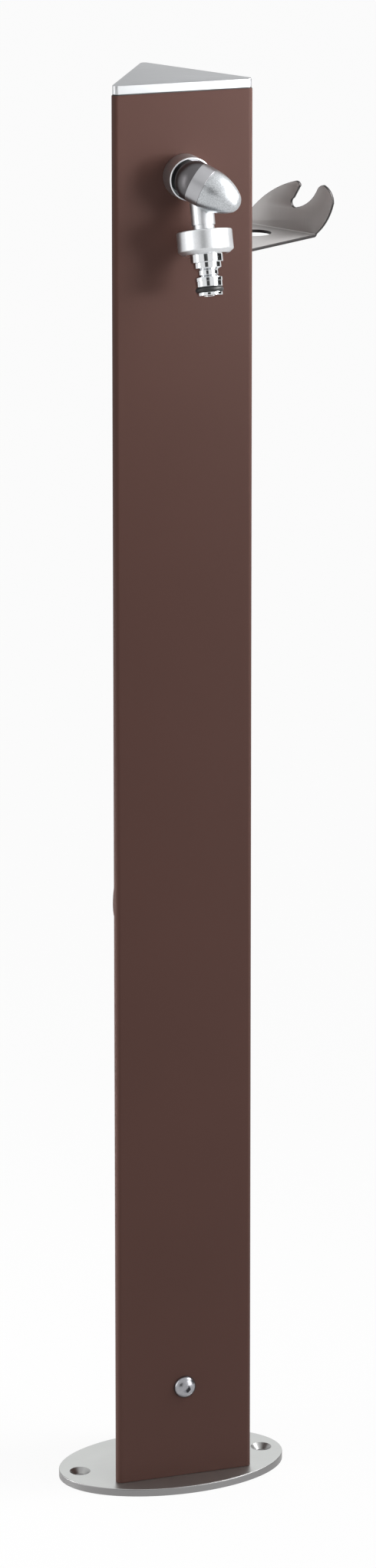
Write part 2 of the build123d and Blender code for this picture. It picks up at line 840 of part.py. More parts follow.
# Hose bracket: one bent sheet with a flange on the post, a shelf with a hole and an upright
# whose two ears leave a slot between them
upright_plane = right_face.offset(bracket_reach - bracket_sheet)
shelf_plane = Plane(
    origin=right_face.origin + Vector(0, 0, bracket_level - bracket_sheet),
    x_dir=right_along,
    z_dir=(0, 0, 1),
)
bend_radius = bracket_inner_bend + bracket_sheet / 2
upright_root = bracket_level + bracket_inner_bend
side_plane = Plane(
    origin=right_face.origin - right_along * bracket_width / 2, x_dir=right_normal, z_dir=-right_along
)
with BuildPart(mode=Mode.PRIVATE) as upright_builder:
    with BuildSketch(upright_plane):
        with BuildLine():
            Line(ear(ear_end_shares), ear(ear_root_shares))
            ThreePointArc(ear(ear_root_shares), ear(ear_side_shares), ear(ear_bulge_shares))
            ThreePointArc(ear(ear_bulge_shares), ear(ear_shoulder_shares), ear(ear_top_shares))
            ThreePointArc(ear(ear_top_shares), ear(ear_inner_shares), ear(ear_drop_shares))
            ThreePointArc(ear(ear_drop_shares), ear(slot_curve_shares), ear(slot_floor_shares))
            ThreePointArc(ear(slot_floor_shares), ear(slot_round_shares), ear(slot_side_shares))
            Line(ear(slot_side_shares), ear(hook_low_shares))
            ThreePointArc(ear(hook_low_shares), ear(hook_nose_shares), ear(hook_top_shares))
            ThreePointArc(ear(hook_top_shares), ear(ear_back_shares), ear(ear_slope_shares))
            Line(ear(ear_slope_shares), ear(ear_end_shares))
        make_face()
    extrude(amount=bracket_sheet)
    split(bisect_by=Plane.XY.offset(upright_root), keep=Keep.TOP)
upright = upright_builder.part

with BuildPart() as hose_bracket:
    with BuildSketch(side_plane):
        with BuildLine() as bent_line:
            FilletPolyline(
                (bracket_sheet / 2, bracket_level - bracket_flange),
                (bracket_sheet / 2, bracket_level - bracket_sheet / 2),
                (bracket_reach - bracket_sheet / 2, bracket_level - bracket_sheet / 2),
                (bracket_reach - bracket_sheet / 2, upright_root),
                radius=bend_radius,
            )
        trace(bent_line.line, line_width=bracket_sheet)
    extrude(amount=-bracket_width)
    add(upright)
    with BuildSketch(shelf_plane):
        with Locations((bracket_hole_side, -bracket_hole_reach)):
            Circle(bracket_hole_dia / 2)
    extrude(amount=bracket_sheet, mode=Mode.SUBTRACT)
    with BuildSketch(right_face):
        with Locations((0, bracket_level - bracket_sheet - bracket_screw_drop)):
            with GridLocations(bracket_screw_spacing, 0, 2, 1):
                Circle(bracket_screw_dia / 2 + bracket_screw_gap)
    extrude(amount=bracket_sheet, mode=Mode.SUBTRACT)
save(hose_bracket.part, "hose_bracket")

# Bracket screws and the nuts inside the post
screw_level = bracket_level - bracket_sheet - bracket_screw_drop
screw_planes = [
    Plane(
        origin=right_face.origin
        + right_normal * bracket_sheet
        + right_along * place
        + Vector(0, 0, screw_level),
        x_dir=right_along,
        z_dir=right_normal,
    )
    for place in (-bracket_screw_spacing / 2, bracket_screw_spacing / 2)
]
with BuildPart() as bracket_screws:
    for plane in screw_planes:
        add(
            button_screw(
                plane,
                bracket_screw_dia,
                bracket_screw_length,
                bracket_screw_head_dia,
                bracket_screw_head_height,
                bracket_screw_key,
                bracket_screw_key_depth,
            )
        )
save(bracket_screws.part, "bracket_screws")

with BuildPart() as bracket_nuts:
    for plane in screw_planes:
        nut_plane = plane.offset(-bracket_sheet - post_wall)
        add(hex_bar(nut_plane, bracket_nut_flats, -bracket_nut_height))
        with BuildSketch(nut_plane):
            Circle(bracket_screw_dia / 2 + thread_gap)
        extrude(amount=-bracket_nut_height, mode=Mode.SUBTRACT)
save(bracket_nuts.part, "bracket_nuts")

# Blanking plug in the left rear face, with its nut
plug_plane = Plane(
    origin=left_face.origin + Vector(0, 0, side_plug_height), x_dir=left_along, z_dir=left_normal
)
with BuildPart() as side_plug:
    with BuildSketch(plug_plane):
        Circle(side_plug_dia / 2)
    extrude(amount=side_plug_head)
    plug_rim = side_plug.faces().sort_by(Axis(plug_plane.origin, left_normal))[-1].edges()
    fillet(plug_rim, side_plug_edge)
    with BuildSketch(plug_plane):
        Circle(side_plug_shank_dia / 2)
    extrude(amount=-side_plug_shank)
save(side_plug.part, "side_plug")

side_nut_plane = plug_plane.offset(-post_wall)
with BuildPart() as side_plug_nut:
    add(hex_bar(side_nut_plane, side_plug_nut_flats, -side_plug_nut_height))
    with BuildSketch(side_nut_plane):
        Circle(side_plug_shank_dia / 2 + thread_gap)
    extrude(amount=-side_plug_nut_height, mode=Mode.SUBTRACT)
save(side_plug_nut.part, "side_plug_nut")
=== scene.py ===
import json
from math import cos, pi, radians, sin, sqrt

import bmesh
import bpy
import numpy as np
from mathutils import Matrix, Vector


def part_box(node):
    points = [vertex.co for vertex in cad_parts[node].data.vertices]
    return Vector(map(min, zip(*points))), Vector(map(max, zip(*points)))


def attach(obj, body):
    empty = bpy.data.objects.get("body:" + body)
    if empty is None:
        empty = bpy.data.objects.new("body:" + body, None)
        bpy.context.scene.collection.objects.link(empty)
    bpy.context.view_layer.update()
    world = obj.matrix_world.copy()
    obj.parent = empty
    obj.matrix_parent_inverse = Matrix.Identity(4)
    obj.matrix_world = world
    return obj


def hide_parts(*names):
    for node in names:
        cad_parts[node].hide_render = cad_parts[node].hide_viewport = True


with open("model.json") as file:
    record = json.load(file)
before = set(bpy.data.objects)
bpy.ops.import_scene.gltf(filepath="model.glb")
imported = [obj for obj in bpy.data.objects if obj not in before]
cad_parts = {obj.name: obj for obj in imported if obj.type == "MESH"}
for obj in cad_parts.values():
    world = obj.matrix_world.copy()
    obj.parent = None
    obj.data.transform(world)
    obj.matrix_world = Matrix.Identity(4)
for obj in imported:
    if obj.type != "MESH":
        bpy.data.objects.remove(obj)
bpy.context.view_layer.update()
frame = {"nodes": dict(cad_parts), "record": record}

# Foot: an oval plate of stainless steel, laser cut and ground to a satin polish, with two
# holes sunk for the floor screws. A folded steel socket, hidden in the post, is welded on it.
mm = 0.001
foot_scratch = 0.8 * mm
foot_cloud = 30 * mm
foot_brush = (0.04, 1.0, 1.0)
level_start = 0.6
level_end = 0.95


def linear(code):
    """An sRGB colour, as six hex digits, as linear red, green and blue with alpha 1."""
    srgb = np.array([int(code[place : place + 2], 16) for place in (0, 2, 4)]) / 255
    light = np.where(srgb <= 0.04045, srgb / 12.92, ((srgb + 0.055) / 1.055) ** 2.4)
    return (*light.tolist(), 1.0)


def add(tree, kind, inputs=None, **settings):
    """Adds one node: inputs gives each socket a value, or another node's output to read."""
    node = tree.nodes.new(kind)
    for name, value in settings.items():
        setattr(node, name, value)
    for name, value in (inputs or {}).items():
        if isinstance(value, bpy.types.NodeSocket):
            tree.links.new(value, node.inputs[name])
        else:
            node.inputs[name].default_value = value
    return node


def new_material(name, **constants):
    """A named material with its Principled shader, and the shader's plain values set."""
    material = bpy.data.materials.new(name)
    material.use_nodes = True
    tree = material.node_tree
    shader = tree.nodes["Principled BSDF"]
    for socket, value in constants.items():
        shader.inputs[socket.replace("_", " ")].default_value = value
    return material, tree, shader


def clouds(tree, size, stretch=(1.0, 1.0, 1.0), detail=3.0):
    """Soft noise in object space, from 0 to 1, about size metres from crest to crest."""
    place = add(tree, "ShaderNodeTexCoord")
    turn = add(tree, "ShaderNodeMapping", {"Vector": place.outputs["Object"], "Scale": stretch})
    noise = add(
        tree,
        "ShaderNodeTexNoise",
        {"Vector": turn.outputs["Vector"], "Scale": 1 / size, "Detail": detail},
    )
    return noise.outputs["Fac"]


def level_share(tree):
    """How level the surface lies: the size of its normal's part along the height, carried
    from the range level_start to level_end onto 0 to 1."""
    surface = add(tree, "ShaderNodeNewGeometry")
    along = add(
        tree,
        "ShaderNodeVectorMath",
        {0: surface.outputs["Normal"], 1: (0.0, 0.0, 1.0)},
        operation="DOT_PRODUCT",
    )
    size = add(tree, "ShaderNodeMath", {0: along.outputs["Value"]}, operation="ABSOLUTE")
    share = add(
        tree,
        "ShaderNodeMapRange",
        {"Value": size.outputs[0], "From Min": level_start, "From Max": level_end},
    )
    return share.outputs["Result"]


def finish(tree, shader, shade, colours, grain, gloss, relief=None, rim=None):
    """Gives a surface its colour, from the first to the second of two as the shade pattern
    goes from 0 to 1, and its roughness, likewise with the grain. Relief is a bump of the
    grain, as (strength, depth in metres). With rim, faces that don't lie level have that
    colour."""
    dark, light = map(linear, colours)
    tone = add(tree, "ShaderNodeMix", {0: shade, 6: dark, 7: light}, data_type="RGBA")
    if rim:
        parts = {0: level_share(tree), 6: linear(rim), 7: tone.outputs[2]}
        tone = add(tree, "ShaderNodeMix", parts, data_type="RGBA")
    rough = add(
        tree, "ShaderNodeMapRange", {"Value": grain, "To Min": gloss[0], "To Max": gloss[1]}
    )
    tree.links.new(tone.outputs[2], shader.inputs["Base Color"])
    tree.links.new(rough.outputs["Result"], shader.inputs["Roughness"])
    if relief:
        strength, depth = relief
        bump = add(
            tree, "ShaderNodeBump", {"Height": grain, "Strength": strength, "Distance": depth}
        )
        tree.links.new(bump.outputs["Normal"], shader.inputs["Normal"])


def dress(material, *names):
    """Puts one material on CAD nodes in place of what they came with."""
    for name in names:
        piece = frame["nodes"][name]
        piece.data.materials.clear()
        piece.data.materials.append(material)


# Ground stainless steel, polished on its face: pale, with fine scratches along its length.
# The laser-cut rim and the turned sinks of the holes, the faces that don't lie level, are
# duller; their darker colour is painted shade, on the cut rim partly its own dull tone.
foot_metal, tree, shader = new_material("polished_stainless_plate", Metallic=1.0)
cloud = clouds(tree, foot_cloud)
lines = clouds(tree, foot_scratch, foot_brush)
relief = (0.12, foot_scratch / 30)
finish(tree, shader, cloud, ("C4C6C5", "D2D4D2"), lines, (0.32, 0.44), relief, rim="8B8A8A")
dress(foot_metal, "foot_plate", "foot_socket")

# Post: a long triangular tube of folded and welded sheet steel, cut square, drilled for the
# tap, the screws and the plug, and powder coated in matt chocolate brown.
post_side = 99.6 * mm
post_corner = 3.5 * mm
post_wall = 2.0 * mm
post_inner_corner = 1.5 * mm
post_edge = 0.4 * mm
corner_steps = 16
front_y = -post_side / (2 * sqrt(3))
coat_grain = 0.6 * mm
coat_cloud = 110 * mm
post_low, post_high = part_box("post")


def stacked(rings):
    """Rounded triangles at their heights, from rings of (inset, corner, height). Each of
    the three corners is an arc of 120 degrees whose centre lies side / sqrt(3) - 2 inset
    - 2 corner from the middle."""
    inset, corner, height = np.array(rings).T[:, :, None, None]
    reach = post_side / sqrt(3) - 2 * inset - 2 * corner
    middle = np.radians([90, 210, 330])[:, None]
    turn = middle + np.radians(np.linspace(-60, 60, corner_steps))
    x = reach * np.cos(middle) + corner * np.cos(turn)
    y = reach * np.sin(middle) + corner * np.sin(turn)
    return np.stack((x, y, np.broadcast_to(height, x.shape)), axis=-1)


def grid_faces(rows, columns, ring=True):
    """The four-sided faces of a grid of points, row after row. The columns close on
    themselves, and with ring so do the rows; without it both end rows get a lid."""
    row = np.arange(rows if ring else rows - 1)[:, None]
    column = np.arange(columns)
    beside = (column + 1) % columns
    above = (row + 1) % rows
    corners = (
        row * columns + column,
        row * columns + beside,
        above * columns + beside,
        above * columns + column,
    )
    faces = np.stack(corners, axis=-1).reshape(-1, 4).tolist()
    if not ring:
        faces += [column[::-1].tolist(), (column + (rows - 1) * columns).tolist()]
    return faces


def skin(name, points, faces, material, sharp=35.0, flat_columns=0):
    """A mesh from points and faces, smooth but for its lids and the edges that bend by more
    than the given degrees; with flat_columns, the long side after every so many columns is
    flat too. The faces point outwards: the volume inside, a sixth of the sum of a . (b x c)
    over the triangles a, b, c, must come out positive, or they are turned round."""
    mesh = bpy.data.meshes.new(name)
    mesh.from_pydata(np.reshape(points, (-1, 3)).tolist(), [], faces)
    smooth = np.array([len(face) == 4 for face in faces])
    if flat_columns:
        smooth &= np.arange(len(faces)) % flat_columns != flat_columns - 1
    mesh.polygons.foreach_set("use_smooth", smooth)
    mesh.set_sharp_from_angle(angle=radians(sharp))
    mesh.calc_loop_triangles()
    places = np.empty(3 * len(mesh.vertices))
    mesh.vertices.foreach_get("co", places)
    order = np.empty(3 * len(mesh.loop_triangles), dtype=np.int32)
    mesh.loop_triangles.foreach_get("vertices", order)
    a, b, c = places.reshape(-1, 3)[order.reshape(-1, 3)].transpose(1, 0, 2)
    if np.einsum("ij,ij->", a, np.cross(b, c)) < 0:
        mesh.flip_normals()
    mesh.materials.append(material)
    return mesh


def fit_piece(mesh, slot, body, *nodes):
    """Puts a mesh into the scene as a piece that rides on a body and stands for CAD nodes."""
    piece = bpy.data.objects.new(mesh.name, mesh)
    bpy.context.scene.collection.objects.link(piece)
    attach(piece, body)
    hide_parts(*nodes)


# Polyester powder coat, baked: a matt, reddish brown with the fine orange peel of the cured
# powder, about 0.6 mm from crest to crest.
coat, tree, shader = new_material("brown_powder_coat", Specular_IOR_Level=0.15)
cloud = clouds(tree, coat_cloud, detail=2.0)
peel = clouds(tree, coat_grain, detail=1.0)
relief = (0.25, coat_grain / 20)
finish(tree, shader, cloud, ("462F29", "4C332D"), peel, (0.46, 0.54), relief)

post_rings = [
    (post_edge, post_corner - post_edge, post_low.z),
    (0.0, post_corner, post_low.z + post_edge),
    (0.0, post_corner, post_high.z - post_edge),
    (post_edge, post_corner - post_edge, post_high.z),
    (post_wall, post_inner_corner, post_high.z),
    (post_wall, post_inner_corner, post_low.z),
]
post_faces = grid_faces(len(post_rings), 3 * corner_steps)
post_tube = skin("post_tube", stacked(post_rings), post_faces, coat, flat_columns=corner_steps)
fit_piece(post_tube, "post_coat", "standpipe", "post")

# Clamp screw: a stainless button-head screw with a hexagon socket, low on the front face. It
# goes through the post and the hidden socket into a nut, and holds the post down.
screw_grain = 1.5 * mm
round_steps = 128


def round_axis(radius, distance, root, out, rounds=round_steps):
    """Places round an axis: root + out * distance + radius * (side cos(turn) + cross
    sin(turn)), a row for each distance and a column for each turn. Radius and distance
    have one number a row, or one for each place."""
    out = Vector(out).normalized()
    side = out.orthogonal().normalized()
    turn = np.linspace(0, 2 * pi, rounds, endpoint=False)
    around = np.outer(np.cos(turn), side) + np.outer(np.sin(turn), out.cross(side))
    radius = np.reshape(radius, (len(radius), -1, 1))
    distance = np.reshape(distance, (len(distance), -1, 1))
    return np.array(root) + distance * np.array(out) + radius * around


# Stainless screw steel, rolled and tumbled: mid grey and softly bright.
screw_metal, tree, shader = new_material("stainless_screw_steel", Metallic=1.0)
grain = clouds(tree, screw_grain)
finish(tree, shader, grain, ("8E8E92", "A2A2A6"), grain, (0.2, 0.3))
dress(screw_metal, "clamp_nut")

clamp_root = (0.0, front_y, 67.6 * mm)
clamp_head = 15.4 * mm
clamp_rise = 4.8 * mm
clamp_key = 5.0 * mm
clamp_key_depth = 2.6 * mm
clamp_shank = 8.0 * mm
clamp_length = 16.0 * mm
clamp_rounds = 96
dome_rows = 16
clamp_turn = np.linspace(0, 2 * pi, clamp_rounds, endpoint=False)
# The key's hexagon lies flats / (2 cos(turn from a flat)) from the axis. The head's rows run
# from its rim to the hexagon, on half an ellipsoid: rise sqrt(1 - (radius / rim)^2) high. The
# key's floor closes to a small hexagon, which gets a lid.
hexagon = clamp_key / 2 / np.cos(clamp_turn % (pi / 3) - pi / 6)
share = np.linspace(0, 1, dome_rows)[:, None] ** 2
dome = (1 - share) * clamp_head / 2 + share * hexagon
dome_height = clamp_rise * np.sqrt(np.clip(1 - (2 * dome / clamp_head) ** 2, 0, 1))
level = np.ones_like(clamp_turn)
radius = [clamp_shank / 2 * level, clamp_shank / 2 * level, *dome, hexagon, hexagon / 6]
key_floor = (clamp_rise - clamp_key_depth) * level
distance = [-clamp_length * level, 0 * level, *dome_height, key_floor, key_floor]
points = round_axis(radius, distance, clamp_root, (0, -1, 0), clamp_rounds)
faces = grid_faces(len(radius), clamp_rounds, ring=False)
clamp_button = skin("clamp_button", points, faces, screw_metal)
fit_piece(clamp_button, "screw_steel", "standpipe", "clamp_screw")

# Supply: a brass fitting on the foot, threaded from below, a steel pipe up the middle of the
# post and a brass elbow behind the tap. All of it is hidden in the post. Turned brass is a
# soft yellow, with a satin face from the tool.
brass_grain = 4 * mm
pipe_draw = (1.0, 1.0, 0.05)
brass, tree, shader = new_material("turned_brass", Metallic=1.0)
grain = clouds(tree, brass_grain)
finish(tree, shader, grain, ("B9994F", "C8A85C"), grain, (0.25, 0.4))
dress(brass, "inlet_fitting", "riser_foot_nut", "riser_top_nut", "wall_elbow")
# Drawn steel tube: pale, with faint lines along its length.
pipe_steel, tree, shader = new_material("drawn_steel_tube", Metallic=1.0)
grain = clouds(tree, brass_grain, pipe_draw)
finish(tree, shader, grain, ("A8A9AA", "BABBBC"), grain, (0.25, 0.35))
dress(pipe_steel, "riser_pipe")

# Tap sleeve: a thin cup of turned and satin-chromed brass that stands on the post round the
# tap's neck and covers its hole. A black rubber ring seals its floor to the post.
tap_root = Vector((0.0, front_y, 889.6 * mm))
tap_out = Vector((0.0, -1.0, 0.0))
sleeve_radius = 14.3 * mm
sleeve_depth = 14.6 * mm
sleeve_wall = 1.0 * mm
sleeve_floor = 2.5 * mm
sleeve_hole = 10.7 * mm
sleeve_seat = 1.0 * mm


def eased(corners, reach, steps=7):
    """A closed outline with its corners rounded. Each corner gives way to the curve
    (1 - t)^2 a + 2 t (1 - t) corner + t^2 b, where a and b lie the reach away from it along
    its two sides, with one more point a little farther out at each end."""
    corners = np.array(corners, dtype=float)
    back = np.roll(corners, 1, axis=0) - corners
    ahead = np.roll(corners, -1, axis=0) - corners
    back /= np.linalg.norm(back, axis=1, keepdims=True)
    ahead /= np.linalg.norm(ahead, axis=1, keepdims=True)
    reach = np.broadcast_to(reach, len(corners))[:, None, None]
    t = np.linspace(0, 1, steps)[:, None]
    corners, back, ahead = corners[:, None], back[:, None], ahead[:, None]
    curve = corners + reach * ((1 - t) ** 2 * back + t**2 * ahead)
    first = corners + 1.2 * reach * back
    last = corners + 1.2 * reach * ahead
    return np.concatenate((first, curve, last), axis=1).reshape(-1, 2)


def turned(name, outline, root, out, material):
    """A turned piece: a closed outline of (radius, distance) carried round its axis."""
    radius, distance = np.transpose(outline)
    points = round_axis(radius, distance, root, out)
    return skin(name, points, grid_faces(len(radius), round_steps), material)


# Satin chrome on a turned face: a fine grain that spreads what the plate mirrors.
satin_grain = 0.9 * mm
satin_metal, tree, shader = new_material("satin_turned_chrome", Metallic=1.0)
grain = clouds(tree, satin_grain)
relief = (0.25, satin_grain / 40)
finish(tree, shader, grain, ("CDCFD1", "E2E4E6"), grain, (0.3, 0.42), relief)

sleeve_inner = sleeve_radius - sleeve_wall
sleeve_outline = eased(
    [
        (sleeve_hole, sleeve_seat),
        (sleeve_inner, sleeve_seat),
        (sleeve_inner, 0.0),
        (sleeve_radius, 0.0),
        (sleeve_radius, sleeve_depth),
        (sleeve_inner, sleeve_depth),
        (sleeve_inner, sleeve_floor),
        (sleeve_hole, sleeve_floor),
    ],
    [0.1 * mm, 0.1 * mm, 0.1 * mm, 0.25 * mm, 0.8 * mm, 0.12 * mm, 0.3 * mm, 0.1 * mm],
)
sleeve_cup = turned("sleeve_cup", sleeve_outline, tap_root, tap_out, satin_metal)
fit_piece(sleeve_cup, "tap_chrome", "standpipe", "tap_sleeve")

# Moulded black rubber: dull, with a faint mould texture.
rubber_grain = 2 * mm
rubber, tree, shader = new_material("black_moulded_rubber")
mould = clouds(tree, rubber_grain)
relief = (0.2, rubber_grain / 40)
finish(tree, shader, mould, ("121212", "1E1E1E"), mould, (0.4, 0.55), relief)
dress(rubber, "sleeve_gasket")

# Ball elbow and valve ring: satin-chromed brass, one body to the eye. A washer and a nut hold
# the neck in the post's wall. The ball is painted dark grey, a painted reflection of the dark
# post face that its chrome mirrors; the ring that closes the valve on it, with its cartridge
# inside, is paler.
joints = {joint["name"]: joint for joint in frame["record"]["behaviour"]["joints"]}
ball_centre = Vector(joints["handle_turn"]["pos_m"])
handle_out = Vector(joints["handle_turn"]["axis"])
ball_radius = 13.35 * mm
ring_length = 8.8 * mm
ring_port = 6.5 * mm
ring_bore = 9.5 * mm
ring_floor = 1.8 * mm
seam_depth = 0.35 * mm
seam_fill = 0.28 * mm
ball_haze = 12 * mm
ring_haze = 8 * mm
cartridge_mould = 4 * mm

# Satin chrome over polished brass, painted dark grey as a painted reflection of the post:
# smooth, with wide soft reflections.
ball_metal, tree, shader = new_material("satin_chrome_painted_dark", Metallic=1.0)
haze = clouds(tree, ball_haze, detail=2.0)
finish(tree, shader, haze, ("5A585A", "646264"), haze, (0.32, 0.38))
dress(ball_metal, "tap_elbow")
dress(screw_metal, "neck_nut", "neck_washer")

# Satin chrome: fine turning marks too small to see, a soft grey shine.
ring_metal, tree, shader = new_material("satin_chrome_ring", Metallic=1.0)
haze = clouds(tree, ring_haze, detail=2.0)
finish(tree, shader, haze, ("A8A8AB", "B4B4B7"), haze, (0.3, 0.36))
ring_outline = eased(
    [
        (ring_port, 0.0),
        (ball_radius, 0.0),
        (ball_radius, ring_length),
        (ball_radius - seam_depth, ring_length),
        (ball_radius - seam_depth, ring_length + seam_fill),
        (ring_bore, ring_length + seam_fill),
        (ring_bore, ring_floor),
        (ring_port, ring_floor),
    ],
    [0.1 * mm, 0.05 * mm, 0.12 * mm, 0.05 * mm, 0.05 * mm, 0.1 * mm, 0.1 * mm, 0.1 * mm],
)
valve_ring = turned("valve_ring", ring_outline, ball_centre, handle_out, ring_metal)
fit_piece(valve_ring, "ring_metal", "standpipe", "valve_body")

# Moulded acetal, the cartridge's housing: off-white, with a soft sheen.
acetal, tree, shader = new_material("white_cartridge_plastic")
mould = clouds(tree, cartridge_mould, detail=2.0)
finish(tree, shader, mould, ("D8D8D2", "E4E4DE"), mould, (0.32, 0.4))
dress(acetal, "valve_cartridge")

# Handle: half an egg of cast brass, blasted with fine grit and satin chromed. It is bored for
# the stem, turns through a quarter turn about its own axis, and a side set screw holds it.
handle_base = 9.1 * mm
handle_grit = 0.7 * mm
# Blasted and satin-chromed brass: fine pits that show as pale and grey flecks, drawn coarser
# than the real grit so that they show.
handle_metal, tree, shader = new_material("blasted_satin_chrome", Metallic=1.0)
grit = clouds(tree, handle_grit)
flecks = add(tree, "ShaderNodeMapRange", {"Value": grit, "From Min": 0.3, "From Max": 0.7})
flecks = flecks.outputs["Result"]
relief = (0.4, handle_grit / 10)
finish(tree, shader, flecks, ("A3A6A9", "D0D3D6"), grit, (0.28, 0.4), relief)
dress(handle_metal, "tap_handle")
dress(brass, "valve_stem")
dress(screw_metal, "handle_screw")

# Outlet pipe: a satin-chromed brass tube brazed to the underside of the ball and the ring.
# Its top is cut to fit them and to clear the handle and the sleeve; its foot holds the nut.
nut_drop = 40 * mm
outlet_out = Vector(joints["nut_turn"]["axis"])
outlet_root = Vector(joints["nut_turn"]["pos_m"]) - nut_drop * outlet_out
pipe_radius = 7.55 * mm
pipe_neck = 6.8 * mm
pipe_bore = 4.5 * mm
pipe_start = 9.0 * mm
pipe_shoulder = 29.8 * mm
pipe_collar = 11.5 * mm
collar_top = 36.5 * mm
collar_bottom = 39.0 * mm
pipe_ease = 0.3 * mm
pipe_sink = 0.3 * mm
pipe_clear = 0.4 * mm
egg_nose = 8.5 * mm
egg_rise = 14.8 * mm
egg_side = (ball_radius**2 + egg_rise**2 - egg_nose**2) / (2 * (ball_radius - egg_nose))
cut_rows = 14
cut_depth = 30 * mm
cut_steps = 421


def tap_cut(places):
    """Which places lie in the ball or the ring, and which too near the handle or sleeve. The
    handle's side is an arc of radius egg_side that leaves its base square, its nose a ball."""
    away = places - np.array(ball_centre)
    along = away @ np.array(handle_out)
    across = np.sqrt(np.maximum(np.einsum("...i,...i->...", away, away) - along**2, 0))
    ball = np.hypot(along, across) < ball_radius
    ring = (along > 0) & (along < ring_length) & (across < ball_radius)
    rise = np.clip(along - handle_base, 0, None)
    side = ball_radius - egg_side + np.sqrt(np.maximum(egg_side**2 - rise**2, 0))
    nose = np.hypot(rise - egg_rise, across) < egg_nose + pipe_clear
    beside = (across < side + pipe_clear) & (rise < egg_rise)
    egg = (along > handle_base - pipe_clear) & (beside | nose)
    from_post = front_y - places[..., 1]
    from_axis = np.hypot(places[..., 0] - tap_root.x, places[..., 2] - tap_root.z)
    sleeve = (from_post < sleeve_depth + pipe_clear) & (from_axis < sleeve_radius + pipe_clear)
    return ball | ring, egg | sleeve


# The pipe's top follows the deepest place of the cut below each point of its round face.
top_radius = pipe_radius * np.linspace(0.04, 1, cut_rows)
start = round_axis(top_radius, np.zeros(cut_rows), outlet_root, outlet_out)
depth = np.linspace(pipe_start, cut_depth, cut_steps)
touch, near = tap_cut(start[:, :, None] + depth[:, None] * np.array(outlet_out))
touch = np.where(touch, depth - pipe_sink, pipe_start).max(axis=-1)
near = np.where(near, depth, pipe_start).max(axis=-1)
top_distance = np.maximum(touch, near)
pipe_rows = [
    (pipe_radius, pipe_shoulder - 2 * pipe_ease),
    (pipe_radius, pipe_shoulder - pipe_ease),
    (pipe_radius - pipe_ease / 4, pipe_shoulder - pipe_ease / 4),
    (pipe_radius - pipe_ease, pipe_shoulder),
    (pipe_neck, pipe_shoulder),
    (pipe_neck, collar_top),
    (pipe_collar, collar_top),
    (pipe_collar, collar_bottom),
    (pipe_bore, collar_bottom),
    (pipe_bore, pipe_shoulder),
]
all_round = np.ones(round_steps)
row_radius, row_distance = np.array(pipe_rows).T[:, :, None] * all_round
radius = np.concatenate((top_radius[:, None] * all_round, row_radius))
distance = np.concatenate((top_distance, row_distance))
points = round_axis(radius, distance, outlet_root, outlet_out)
pipe_faces = grid_faces(len(radius), round_steps, ring=False)
pipe_skin = skin("outlet_tube", points, pipe_faces, satin_metal)
fit_piece(pipe_skin, "tap_chrome", "standpipe", "outlet_pipe")

# Union nut: a wide ring nut turned from brass, satin chromed, with softly broken edges. It
# hangs on the pipe's collar, turns on the plug's thread and draws it up against a washer.
nut_top = 33.4 * mm
nut_side = 12.7 * mm
nut_bottom = 48.6 * mm
nut_radius = 17.8 * mm
nut_foot = 14.6 * mm
nut_thread = 13.25 * mm
nut_hole = 6.88 * mm
nut_roof = 3.0 * mm

nut_outline = eased(
    [
        (nut_hole, nut_top),
        (nut_radius, nut_top),
        (nut_radius, nut_top + nut_side),
        (nut_foot, nut_bottom),
        (nut_thread, nut_bottom),
        (nut_thread, nut_top + nut_roof),
        (nut_hole, nut_top + nut_roof),
    ],
    [0.2 * mm, 0.9 * mm, 0.6 * mm, 0.5 * mm, 0.3 * mm, 0.3 * mm, 0.2 * mm],
)
nut_ring = turned("nut_ring", nut_outline, outlet_root, outlet_out, satin_metal)
fit_piece(nut_ring, "union_metal", "nut", "union_nut")
dress(rubber, "union_seal")

# Hose plug: turned and chromed brass, threaded where the nut grips it, with the steps, the
# groove and the black ring that a click-on hose end closes on. It is bored for the water.
plug_thread = 13.2 * mm
thread_pitch = 1.814 * mm
thread_depth = 0.9 * mm
thread_fade = 0.9 * mm
thread_rows = 66
plug_ease_steps = 6
plug_haze = 20 * mm

# Bright chrome plate on turned brass: a near mirror, just soft enough to blur its edges.
chrome, tree, shader = new_material("bright_chrome_plate", Metallic=1.0)
haze = clouds(tree, plug_haze, detail=2.0)
finish(tree, shader, haze, ("D6D8DA", "E0E2E4"), haze, (0.07, 0.11))

# The plug's corners in millimetres, as (radius, distance, how far the corner is eased): down
# the steps below the thread, over the waist, past the ring's groove to the nose, and back up
# the bore to the face that meets the seal.
plug_corners = [
    (13.2, 48.6, 0.5),
    (10.45, 48.6, 0.3),
    (10.45, 53.8, 0.4),
    (9.0, 53.8, 0.3),
    (9.0, 57.3, 0.3),
    (6.6, 58.9, 0.3),
    (6.6, 61.9, 0.3),
    (8.9, 63.4, 0.3),
    (8.9, 65.75, 0.12),
    (8.6, 65.75, 0.1),
    (8.6, 69.4, 0.4),
    (5.55, 69.4, 0.3),
    (5.55, 72.9, 0.3),
    (8.2, 72.9, 0.3),
    (8.2, 75.1, 0.6),
    (4.0, 75.1, 0.4),
    (4.0, 40.5, 0.4),
    (13.2, 40.5, 0.5),
]
plug_corners = np.array(plug_corners) * mm
plug_rows = eased(plug_corners[:, :2], plug_corners[:, 2], plug_ease_steps)
